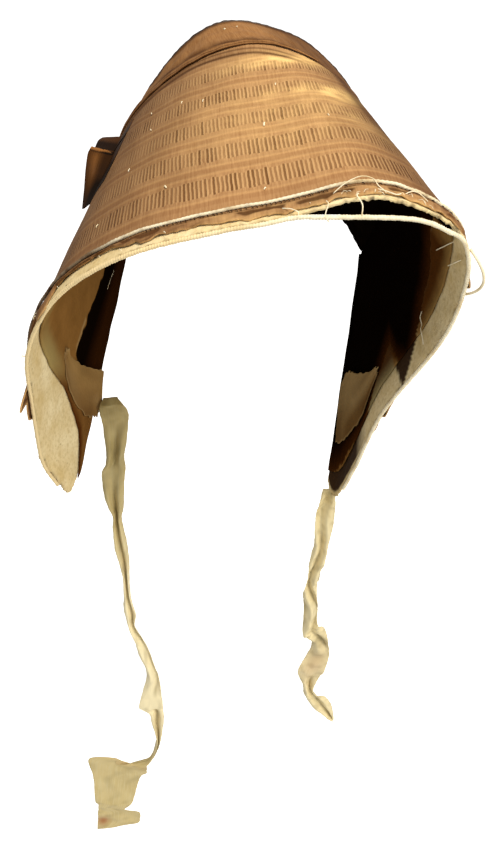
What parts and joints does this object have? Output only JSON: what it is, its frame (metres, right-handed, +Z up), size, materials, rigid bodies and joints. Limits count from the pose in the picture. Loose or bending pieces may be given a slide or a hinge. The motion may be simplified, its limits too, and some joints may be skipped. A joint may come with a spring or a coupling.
{
  "type": "poke bonnet",
  "caption": "Poke bonnet with a deep figured silk brim on board, a plain silk crown, a side bow and hanging ribbon ties.",
  "frame": {"origin": "spot on the lining's top centre line that bears on the head", "axes": "+Z up as worn, the face opening looks along -Y, +X is the wearer's left"},
  "size_m": [0.2838, 0.2631, 0.7571],
  "materials": {
    "figured_silk": "brown silk woven with bands of short dark dashes, soft sheen",
    "plain_silk": "plain brown silk, soft sheen",
    "cream_board": "aged cream pasteboard, matte",
    "tan_lining": "thin tan lining cloth, matte, torn",
    "cream_thread": "wound cream thread",
    "cream_ribbon": "aged cream silk ribbon"
  },
  "bodies": {
    "root": {"brim_cover": "figured_silk", "edge_binding": "figured_silk", "brim_board": "cream_board", "brim_lining": "tan_lining", "edge_wire": "cream_thread", "edge_cord": "cream_thread", "crown_side": "plain_silk", "crown_tip": "plain_silk", "crown_piping": "plain_silk", "crown_band": "plain_silk", "bow": "plain_silk", "lining_flap_left": "tan_lining", "lining_flap_right": "tan_lining", "tie_left": "cream_ribbon", "tie_right": "cream_ribbon"}
  },
  "joints": []
}
